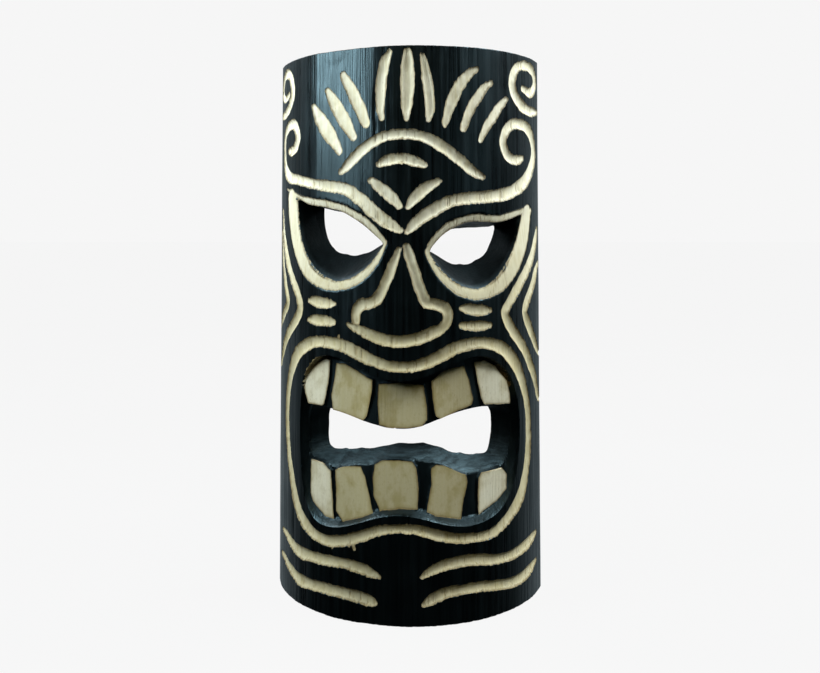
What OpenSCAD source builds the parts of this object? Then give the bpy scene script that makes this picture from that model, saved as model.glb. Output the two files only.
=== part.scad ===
// Tiki wall mask carved from half of a hollowed log, with two D-ring hangers
// on its back. The face looks along -Y, the mask stands on its bottom end.

/* [Mask body] */
// Height of the mask
body_h = 305; // [300:1:310]
// Outer radius of the log at mid height
log_r = 78.1; // [77.5:0.1:78.7]
// How much wider the log is at its bottom than at its top, as a share of its radius
taper = 0.066; // [0.05:0.002:0.08]
// Thickness of the wall left by the hollow
wall = 17.7; // [16.5:0.1:19]
// Slope of the saw cut at the top, in degrees, rising towards +X
top_slope = 0.66; // [0:0.02:1]

/* [Carving] */
// Depth of a groove as a share of its width
groove_depth = 0.32; // [0.2:0.02:0.36]
// Deepest that a groove goes
groove_max = 2.2; // [1.4:0.1:2.6]
// Depth of the floor that the teeth stand on, below the face
mouth_depth = 5; // [4:0.5:5.5]

/* [Hangers] */
// Width of the hanger strap
strap_w = 9; // [8:0.5:9.5]
// Thickness of the hanger strap
strap_t = 1; // [0.8:0.1:1.2]
// Height of the ring's hinge above the bottom
hinge_z = 262; // [250:1:268]
// Thickness of the ring's wire
wire_d = 2; // [1.8:0.1:2.1]
// Radial clearance of the wire in its eye
wire_gap = 0.05; // [0.03:0.01:0.08]

/* [Hidden] */

arc_r = 78;          // radius that the arc lengths in the lists below refer to
axis_y = 47;         // the log's centre line lies behind the middle of the mask
back_y = 29.4;       // flat sawn back
hang_x = 65.3;       // middle of the solid land on each side of the hollow
eye_y = back_y + 2.4;
screw_z = hinge_z - 16.5;
hollow_lo = 26;
hollow_hi = 281;
hollow_run = 18;     // length of the sloped ends of the hollow

function r_at(z) = log_r * (1 - taper * (z / 305 - 0.5));
// a point given by arc length a, height z and depth d below the face
function P(a, z, d) = let (t = a / arc_r * 180 / PI, r = r_at(z) - d)
    [r * sin(t), axis_y - r * cos(t), z];

// ---- lofts through rings of four points -------------------------------
module loft(rings, closed = false) {
    n = len(rings);
    last = closed ? n : n - 1;
    pts = [for (r = rings) each r];
    sides = [for (i = [0 : last - 1], j = [0 : 3])
        let (k = (i + 1) % n,
             A = 4 * i + j, B = 4 * i + (j + 1) % 4,
             C = 4 * k + (j + 1) % 4, D = 4 * k + j)
        each [[A, D, C], [A, C, B]]];
    e = 4 * (n - 1);
    caps = closed ? [] : [[0, 1, 2], [0, 2, 3], [e, e + 2, e + 1], [e, e + 3, e + 2]];
    polyhedron(points = pts, faces = concat(sides, caps), convexity = 8);
}

// ---- gouged grooves: each point is [arc, height, width] ----------------
function unit(v) = v / max(norm(v), 0.001);
function tangent(p, i, closed) = let (n = len(p),
    q = closed ? p[(i + 1) % n] : p[min(i + 1, n - 1)],
    s = closed ? p[(i + n - 1) % n] : p[max(i - 1, 0)])
    unit([q[0] - s[0], q[1] - s[1]]);
function groove_ring(c, t, floor_d) = let (
    nx = -t[1], nz = t[0], h = c[2] / 2,
    d = min(groove_max, c[2] * groove_depth), o = h * (1 + 0.8 / d * 0.45), b = h * 0.45)
    [P(c[0] - nx * o, c[1] - nz * o, floor_d - 0.8),
     P(c[0] - nx * b, c[1] - nz * b, floor_d + d),
     P(c[0] + nx * b, c[1] + nz * b, floor_d + d),
     P(c[0] + nx * o, c[1] + nz * o, floor_d - 0.8)];
module groove(p, closed = false, floor_d = 0) {
    loft([for (i = [0 : len(p) - 1]) groove_ring(p[i], tangent(p, i, closed), floor_d)], closed);
}

hair = [
    [[-51.5, 275.5, 3], [-46, 269, 5], [-40.5, 261.5, 5], [-34.5, 253.5, 3]],
    [[-41, 283.5, 3], [-36, 276, 5], [-30.5, 268, 5], [-26.5, 260, 3.5]],
    [[-31, 291, 3], [-26, 283.5, 5], [-21, 274, 5], [-18.5, 266, 4]],
    [[-4.5, 302, 2.5], [-8, 296, 5], [-9.5, 285, 5], [-9.5, 275, 4], [-8.5, 268, 2.5]],
    [[5, 302, 4], [5, 295, 7], [5, 285, 7.5], [4.5, 275, 6], [4.5, 268, 3]],
    [[13, 300, 2.5], [14, 295, 4.5], [15.5, 287, 5.5], [16.5, 280, 5.5], [17, 273, 5], [16, 267.5, 3]],
    [[43.5, 294.5, 3], [38, 291, 5.5], [32.5, 284, 6], [29, 277, 6], [26, 269, 4.5], [25, 265, 3]],
    [[53, 288, 3], [47.5, 284, 5], [42, 277, 5.5], [38, 270, 5], [35.5, 263, 3.5]],
    [[64.5, 280.5, 3], [60, 277, 5], [54.5, 270.5, 5.5], [49.5, 264.5, 5], [46, 258, 3.5]]
];
brow = [
    [[-33, 241.5, 3.5], [-28, 245.5, 6], [-20, 252, 6], [-11, 257.5, 5.5], [0, 260, 5.5],
     [12, 259, 5.5], [22, 254.5, 6], [32, 248, 6], [41, 241.5, 5.5], [47, 238.5, 3.5]],
    [[-10, 244.5, 3.5], [-6, 246.5, 6], [2, 247.5, 5.5], [9, 246, 5.5], [14, 244, 3.5]],
    [[-15, 236.5, 3], [-10, 233, 5.5], [-4, 228, 6], [0.5, 223, 3.5]],
    [[21.5, 236, 3.5], [15.5, 233, 6], [9.5, 228, 6], [5, 222.5, 3]],
    [[1, 210.5, 3.5], [-4, 213.5, 6], [-12, 219, 7], [-20, 226, 7], [-30, 232, 6.5],
     [-42, 234, 6], [-55, 236, 5.5], [-68, 238.5, 6], [-78, 240, 6.5], [-85, 244, 7],
     [-88.5, 251, 6.5], [-89, 259, 5.5], [-86, 265.5, 5.5], [-80, 269, 5.5], [-73, 269, 6],
     [-69, 265, 6], [-68.5, 260, 6], [-71.5, 256, 5.5], [-76, 254.5, 5.5], [-80, 255, 4]],
    [[5, 210, 3.5], [10, 215, 6], [18, 220.5, 7], [28, 225.5, 6.5], [40, 227.5, 6.5],
     [52, 228.5, 6.5], [64, 230, 7], [74, 233.5, 7.5], [84, 239, 8], [91.5, 246, 8],
     [95, 254, 8], [92, 262, 7.5], [85, 267, 7], [76, 268.5, 6], [68, 267, 6],
     [63, 262, 6], [62, 256, 6], [65.5, 250.5, 6], [71, 248.5, 5.5], [75.5, 249, 5], [79.5, 250, 3.5]]
];
curl = [
    [[-97, 276, 3.5], [-88, 276, 5], [-79.5, 280, 6], [-75, 287, 6], [-77, 294, 6],
     [-83, 298, 5.5], [-90, 297, 5], [-94, 291.5, 5], [-92.5, 286.5, 4.5], [-87, 284.5, 4], [-81, 286.5, 3.5]],
    [[103, 277.5, 2.5], [96, 277, 5], [88, 276.5, 6], [79, 278.5, 6.5], [72, 283.5, 6.5],
     [69.5, 290, 6.5], [72, 296.5, 6], [78, 300, 5.5], [87, 300.5, 5.5], [95, 298.5, 6],
     [98, 293.5, 6.5], [95, 289, 5.5], [88, 286.5, 5.5], [80, 288, 4]]
];
eye_rim = [
    [[-82.5, 233.5, 1.5], [-76, 231.5, 2.5], [-68, 229, 3], [-58, 226.5, 4], [-46, 225, 4],
     [-34, 222.5, 4], [-26, 219.5, 4], [-18, 215, 4], [-12, 209.5, 3.5], [-7.5, 204.5, 3]],
    [[-7, 204, 2], [-9.5, 198.5, 2.5], [-13.5, 192.5, 3.5], [-19, 187, 4.5], [-26, 183, 5],
     [-36, 181, 5], [-46, 182.5, 6], [-55, 186.5, 7], [-62, 192.5, 8], [-68, 200.5, 8.5],
     [-72.5, 209.5, 9], [-75.5, 219.5, 10], [-76.5, 229, 10]],
    [[15.5, 200, 2.5], [18.5, 205, 3.5], [24, 210.5, 4], [31, 214.5, 4], [40, 217, 4],
     [50, 217, 4], [60, 217, 4], [70, 219, 4], [80, 221, 3.5], [90, 222, 2.5]],
    [[15.5, 199.5, 2.5], [17.5, 194.5, 3], [21.5, 188.5, 3.5], [27, 183, 4.5], [34, 178.5, 5.5],
     [44, 176.5, 6], [54, 178.5, 6.5], [63, 183.5, 8], [70, 190, 9], [75.5, 197, 9.5],
     [80, 204.5, 10], [83, 212, 9.5], [85.5, 220.5, 9]]
];
cheek = [
    [[-93, 222, 3], [-91, 212, 6], [-86.5, 202, 6.5], [-80, 190.5, 6.5], [-73, 182, 6.5],
     [-66.5, 174.5, 6.5], [-64.5, 167.5, 6.5], [-68.5, 161, 6.5], [-76, 155, 6.5],
     [-84, 148, 6.5], [-90, 141, 6], [-96, 133, 4]],
    [[-96, 210, 3], [-92.5, 198, 5], [-88.5, 187, 5.5], [-84, 177, 5.5], [-81, 170, 6],
     [-86, 164.5, 6], [-94, 159, 5.5], [-102, 154, 3.5]],
    [[100, 211, 4], [97, 205, 6.5], [92, 197, 7], [85, 189.5, 7], [77, 182, 7], [69, 174, 6.5],
     [63, 166.5, 6], [66, 159.5, 6.5], [73, 152, 7], [81, 144, 7], [88, 135.5, 7],
     [94.5, 126, 6.5], [100, 116.5, 6], [104, 112.5, 3]],
    [[103, 192, 3.5], [98, 188, 6], [92, 180, 6.5], [85, 172, 6.5], [81.5, 165.5, 6],
     [85, 159, 6.5], [91.5, 151, 6.5], [98, 144, 5.5], [104, 139.5, 3.5]],
    [[-55, 172.5, 3], [-50, 172, 6], [-42, 171.5, 6], [-36.5, 171.5, 2.5]],
    [[-56, 162, 3], [-50, 162, 6], [-42, 162, 6], [-37.5, 161.5, 4]],
    [[34, 169.5, 3], [39, 169, 6], [47, 168, 6], [52, 168, 2.5]],
    [[34, 160.5, 3.5], [40, 160, 5.5], [47, 160, 5.5], [52, 160, 3]]
];
nose = [
    [[0.5, 200.5, 3], [-2.5, 193, 5], [-6.5, 183.5, 5.5], [-10.5, 175.5, 6], [-15, 172.5, 6],
     [-20, 171.5, 6.5], [-23, 167.5, 6], [-23, 162.5, 4]],
    [[4.5, 202, 4], [6, 197, 5.5], [9, 188, 5.5], [12, 179, 6], [15, 173, 6], [20, 172, 6.5],
     [25, 169.5, 6.5], [26.5, 165, 5.5], [24, 160, 5.5], [18, 157, 6.5], [10, 154, 6.5],
     [0, 152.5, 6.5], [-8, 153.5, 6.5], [-15, 156, 6], [-22, 158.5, 5], [-28, 161, 2]]
];
chin = [
    [[-88, 36, 3], [-80, 35, 5], [-72, 32, 6.5], [-63, 30, 7.5], [-52, 30.5, 6.5], [-40, 31, 6.5],
     [-30, 31.5, 6], [-20, 30, 6.5], [-14, 28, 5.5], [-10.5, 26.5, 2.5]],
    [[-91, 21, 3], [-84, 20.5, 5], [-75, 17, 6], [-63, 14, 7.5], [-52, 14.5, 6.5], [-40, 15, 6.5],
     [-30, 15, 6.5], [-20, 14, 7], [-15, 13, 6], [-12, 12, 3]],
    [[12.5, 27, 2.5], [17, 30, 5], [25, 33, 6.5], [34, 34, 6.5], [44, 33.5, 6.5], [55, 31.5, 6],
     [66, 31, 6], [78, 32.5, 7], [88, 34.5, 6.5], [94, 36.5, 3]],
    [[13.5, 12, 3], [18, 15, 6], [26, 18, 6.5], [34, 18.5, 6], [44, 18.5, 6], [55, 17, 6],
     [66, 15.5, 6], [76, 15.5, 7], [86, 17.5, 7], [94, 20, 3]]
];
lip = [
    [-40, 150.5, 6.5], [-30, 149, 7], [-20, 145, 7], [-10, 141, 6], [2, 139, 6], [12, 140.5, 6.5],
    [22, 144.5, 7], [32, 149, 7], [42, 151, 6.5], [52, 150, 6.5], [61, 146.5, 7.5], [69, 140, 8],
    [75.5, 131.5, 7.5], [80.5, 122, 7], [84, 111, 6.5], [85, 100, 6.5], [84.5, 88, 7], [82, 77, 7.5],
    [77.5, 66, 8], [71, 58, 8], [62, 51, 6.5], [52, 46.5, 5.5], [40, 46, 5.5], [30, 47, 5.5],
    [20, 49.5, 6], [10, 52.5, 5.5], [0, 53, 5], [-10, 51.5, 5.5], [-19, 48, 6.5], [-28, 44.5, 6.5],
    [-40, 42, 6.5], [-50, 43.5, 6.5], [-59, 48, 7.5], [-65.5, 54.5, 7.5], [-70, 63, 7], [-74, 74, 6.5],
    [-77.5, 85, 6], [-80, 97, 6], [-80.5, 108, 6], [-79, 119, 6.5], [-75, 130, 7], [-69.5, 139, 8],
    [-61, 146, 7.5], [-50, 150, 6.5]
];
tooth_gap = [
    [[-41.5, 141, 3.5], [-41, 130, 3.5], [-43.5, 115, 4]],
    [[-13.5, 131, 2.5], [-14.5, 120, 3.5], [-16, 109, 5]],
    [[16, 131, 3.5], [17, 120, 4], [19, 109, 5]],
    [[40.5, 138, 4], [44.5, 126, 4], [47.5, 115, 5]],
    [[-41, 80, 2.5], [-40.5, 67, 2.5], [-39, 55, 3.5]],
    [[-17.5, 83, 5], [-15.5, 72, 3], [-12.5, 62, 4]],
    [[13.5, 86, 7], [13, 75, 5.5], [12, 64, 4]],
    [[42.5, 78, 8], [42, 68, 7], [40, 57, 9]]
];

// ---- openings ----------------------------------------------------------
// eye sockets: [arc, low, high] of the rim at the face, then the same of the hole at the back
left_eye = [
    [-69.5, 221, 227, -60, 214, 220], [-67, 212, 227, -57, 209, 220.5], [-62, 201, 226, -51, 206, 221],
    [-55, 191.5, 225, -43, 203, 220.5], [-46, 185.5, 223.5, -36, 199, 219.5],
    [-36, 183.5, 222, -29, 197.5, 218], [-26, 186, 218.5, -22, 198, 214.5],
    [-17, 191, 212, -16.5, 199.5, 210.5], [-11, 198, 206.5, -11.5, 202, 206.5]
];
right_eye = [
    [18.5, 197, 201.5, 19, 198, 202], [24, 189, 208.5, 24, 195.5, 206], [32, 183, 213, 31, 193.5, 210.5],
    [42, 180, 215, 38, 194.5, 211.5], [52, 180.5, 215, 45, 197, 211.5], [61, 185.5, 215, 52, 201, 211.5],
    [69, 193.5, 216, 58, 205, 212], [74.5, 203.5, 217, 63, 208, 212], [79, 214, 218, 67, 210, 213]
];
// recess that holds the teeth: [arc, low, high]
mouth_recess = [
    [-63, 88, 112], [-61.5, 72, 126], [-57, 58, 134.5], [-50, 52.5, 141.5], [-40, 50, 143.5],
    [-30, 51.5, 141.5], [-20, 54.5, 137.5], [-10, 57.5, 133.5], [0, 59.5, 131.5], [10, 58.5, 132.5],
    [20, 56, 136], [30, 53.5, 140.5], [40, 52.5, 143.5], [50, 54, 143], [58, 57.5, 139.5],
    [65, 64, 133], [70, 73, 124], [73.5, 88, 112]
];
// slit between the rows of teeth: [arc, low, high] at the teeth, then [low, high] at the back
mouth_slit = [
    [-62.5, 90, 109, 92, 107], [-58, 84, 113.5, 90.5, 110], [-50, 82.5, 114, 90.5, 111],
    [-40, 81, 113, 90.5, 111], [-32, 82.5, 111.5, 90.5, 110], [-24, 84.5, 109.5, 91, 108],
    [-15, 86, 107.5, 92.5, 106.5], [-7, 88.5, 106, 94, 105], [5, 89, 105.5, 95, 105],
    [13, 88, 107, 94.5, 106], [22, 86.5, 110, 92, 108.5], [30, 83, 113, 89, 111],
    [38, 79.5, 114.5, 87.5, 112], [46, 79.5, 115, 87, 112], [56, 80, 115, 87, 112],
    [64, 81.5, 114.5, 88, 111], [70, 85, 112.5, 89, 110], [73, 92, 109, 92, 108]
];

function eye_ring(s) = let (k = 2 / 18)
    [P(s[0] - (s[3] - s[0]) * k, s[1] - (s[4] - s[1]) * k, -2),
     P(s[3] + (s[3] - s[0]) * k, s[4] + (s[4] - s[1]) * k, 20),
     P(s[3] + (s[3] - s[0]) * k, s[5] + (s[5] - s[2]) * k, 20),
     P(s[0] - (s[3] - s[0]) * k, s[2] - (s[5] - s[2]) * k, -2)];
function recess_ring(s) =
    [P(s[0], s[1] - 1.2, -2), P(s[0], s[1] + 3, mouth_depth),
     P(s[0], s[2] - 0.5, mouth_depth), P(s[0], s[2], -2)];
function slit_ring(s) = [P(s[0], s[1] - 0.5, mouth_depth - 1.5), P(s[0], s[3], 21),
     P(s[0], s[4], 21), P(s[0], s[2] + 0.1, mouth_depth - 1.5)];

module hollow() {
    a = hollow_lo; b = hollow_lo + hollow_run;
    c = hollow_hi - hollow_run; d = hollow_hi;
    translate([0, axis_y, 0]) {
        translate([0, 0, a]) cylinder(h = b - a, r1 = r_at(a) - wall - 14, r2 = r_at(b) - wall, $fn = 120);
        translate([0, 0, b]) cylinder(h = c - b, r1 = r_at(b) - wall, r2 = r_at(c) - wall, $fn = 120);
        translate([0, 0, c]) cylinder(h = d - c, r1 = r_at(c) - wall, r2 = r_at(d) - wall - 14, $fn = 120);
    }
}

module half_log() {
    difference() {
        translate([0, axis_y, 0])
            cylinder(h = body_h + 2, r1 = r_at(0), r2 = r_at(body_h + 2), $fn = 180);
        translate([-100, back_y, -1]) cube([200, 100, body_h + 10]);
        translate([0, 0, body_h]) rotate([0, -top_slope, 0])
            translate([-120, -60, 0]) cube([240, 200, 20]);
        hollow();
    }
}

module carved_mask() {
    color([0.10, 0.12, 0.13])
    difference() {
        half_log();
        for (g = hair) groove(g);
        for (g = brow) groove(g);
        for (g = curl) groove(g);
        for (g = eye_rim) groove(g);
        for (g = cheek) groove(g);
        for (g = nose) groove(g);
        for (g = chin) groove(g);
        groove(lip, closed = true);
        loft([for (s = mouth_recess) recess_ring(s)]);
        loft([for (s = mouth_slit) slit_ring(s)]);
        for (g = tooth_gap) groove(g, floor_d = mouth_depth);
        loft([for (s = left_eye) eye_ring(s)]);
        loft([for (s = right_eye) eye_ring(s)]);
        for (s = [-1, 1]) translate([s * hang_x, back_y - 13, screw_z])
            rotate([-90, 0, 0]) cylinder(h = 14, r = 1.5, $fn = 32);
    }
}

// hanger strap: a plate with a rolled eye along its top edge and one screw hole
module strap() {
    color([0.72, 0.72, 0.70])
    difference() {
        union() {
            translate([-strap_w / 2, back_y, screw_z]) cube([strap_w, strap_t, 16.5]);
            translate([0, back_y, screw_z]) rotate([-90, 0, 0])
                cylinder(h = strap_t, r = strap_w / 2, $fn = 48);
            translate([-strap_w / 2, eye_y, hinge_z]) rotate([0, 90, 0])
                cylinder(h = strap_w, r = wire_d / 2 + wire_gap + 0.9, $fn = 48);
        }
        translate([-strap_w, eye_y, hinge_z]) rotate([0, 90, 0])
            cylinder(h = 2 * strap_w, r = wire_d / 2 + wire_gap, $fn = 48);
        translate([0, back_y - 1, screw_z]) rotate([-90, 0, 0])
            cylinder(h = strap_t + 2, r = 1.5, $fn = 32);
    }
}
module left_hanger_strap() { translate([-hang_x, 0, 0]) strap(); }
module right_hanger_strap() { translate([hang_x, 0, 0]) strap(); }

// D-shaped ring of round wire, hanging straight down from its eye
module ring() {
    w = 6.5; drop = 5;
    color([0.80, 0.80, 0.78])
    translate([0, eye_y, hinge_z]) union() {
        translate([-w, 0, 0]) rotate([0, 90, 0]) cylinder(h = 2 * w, r = wire_d / 2, $fn = 32);
        for (s = [-1, 1]) {
            translate([s * w, 0, 0]) sphere(r = wire_d / 2, $fn = 32);
            translate([s * w, 0, -drop]) cylinder(h = drop, r = wire_d / 2, $fn = 32);
        }
        translate([0, 0, -drop]) rotate([90, 0, 0]) rotate([0, 0, 180])
            rotate_extrude(angle = 180, $fn = 64) translate([w, 0]) circle(r = wire_d / 2, $fn = 32);
    }
}
module left_hanger_ring() { translate([-hang_x, 0, 0]) ring(); }
module right_hanger_ring() { translate([hang_x, 0, 0]) ring(); }

// pan-head wood screws, one through each strap
module screw() {
    color([0.85, 0.80, 0.62])
    translate([0, back_y, screw_z]) rotate([-90, 0, 0]) difference() {
        union() {
            translate([0, 0, strap_t]) cylinder(h = 1.8, r = 2.75, $fn = 48);
            translate([0, 0, -9]) cylinder(h = 10.5, r = 1.45, $fn = 32);
            translate([0, 0, -12]) cylinder(h = 3, r1 = 0.2, r2 = 1.45, $fn = 32);
        }
        for (q = [0, 90]) rotate([0, 0, q])
            translate([-1.6, -0.35, strap_t + 0.9]) cube([3.2, 0.7, 2]);
    }
}
module hanger_screws() {
    for (s = [-1, 1]) translate([s * hang_x, 0, 0]) screw();
}

carved_mask();
left_hanger_strap();
right_hanger_strap();
left_hanger_ring();
right_hanger_ring();
hanger_screws();
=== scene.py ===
import math

import bmesh
import bpy
import numpy as np
from mathutils import Matrix, Vector


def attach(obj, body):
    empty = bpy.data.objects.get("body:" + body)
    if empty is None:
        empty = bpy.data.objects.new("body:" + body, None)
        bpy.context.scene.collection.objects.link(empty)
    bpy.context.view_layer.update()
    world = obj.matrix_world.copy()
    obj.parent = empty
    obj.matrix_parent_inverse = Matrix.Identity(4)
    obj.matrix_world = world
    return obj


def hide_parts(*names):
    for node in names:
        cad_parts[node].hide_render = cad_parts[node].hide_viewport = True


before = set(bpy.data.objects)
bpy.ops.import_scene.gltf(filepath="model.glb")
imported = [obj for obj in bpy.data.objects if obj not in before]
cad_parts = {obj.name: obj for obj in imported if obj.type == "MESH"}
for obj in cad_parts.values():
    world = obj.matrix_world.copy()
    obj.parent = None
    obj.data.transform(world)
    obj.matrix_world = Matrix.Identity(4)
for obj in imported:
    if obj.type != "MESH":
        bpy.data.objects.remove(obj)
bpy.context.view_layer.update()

# ---------------------------------------------------------------------------
# The log: lengths here are millimetres, objects are made in metres.
# a is arc length along the face (on a 78 mm radius), z is height, d is depth
# below the face.  The log's centre line stands at y = 47, the sawn back at 29.4.
# ---------------------------------------------------------------------------
ARC_R, LOG_R, TAPER, AXIS_Y, BACK_Y = 78.0, 78.1, 0.066, 47.0, 29.4
BODY_H, WALL, SLOPE = 305.0, 17.7, math.tan(math.radians(0.66))
CELL = 0.62


def r_at(z):
    return LOG_R * (1 - TAPER * (z / 305.0 - 0.5))


# ---- repeatable smooth noise -------------------------------------------------
def _hash(ix, iy, seed):
    h = (ix.astype(np.int64) * 374761393 + iy.astype(np.int64) * 668265263 + seed * 974634777) & 0xFFFFFFFF
    h = ((h ^ (h >> 13)) * 1274126177) & 0xFFFFFFFF
    return ((h ^ (h >> 16)) & 0xFFFFFF) / float(0xFFFFFF) * 2 - 1


def noise(x, y, seed=0):
    ix, iy = np.floor(x), np.floor(y)
    fx, fy = x - ix, y - iy
    fx, fy = fx * fx * fx * (fx * (fx * 6 - 15) + 10), fy * fy * fy * (fy * (fy * 6 - 15) + 10)
    v00, v10 = _hash(ix, iy, seed), _hash(ix + 1, iy, seed)
    v01, v11 = _hash(ix, iy + 1, seed), _hash(ix + 1, iy + 1, seed)
    return (v00 * (1 - fx) + v10 * fx) * (1 - fy) + (v01 * (1 - fx) + v11 * fx) * fy


def fbm(x, y, seed=0, n=3):
    s = 0
    for i in range(n):
        s = s + noise(x * 2 ** i, y * 2 ** i, seed + 17 * i) / 2 ** i
    return s / 1.75


def smooth(e0, e1, x):
    t = np.clip((x - e0) / (e1 - e0), 0, 1)
    return t * t * (3 - 2 * t)


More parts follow.
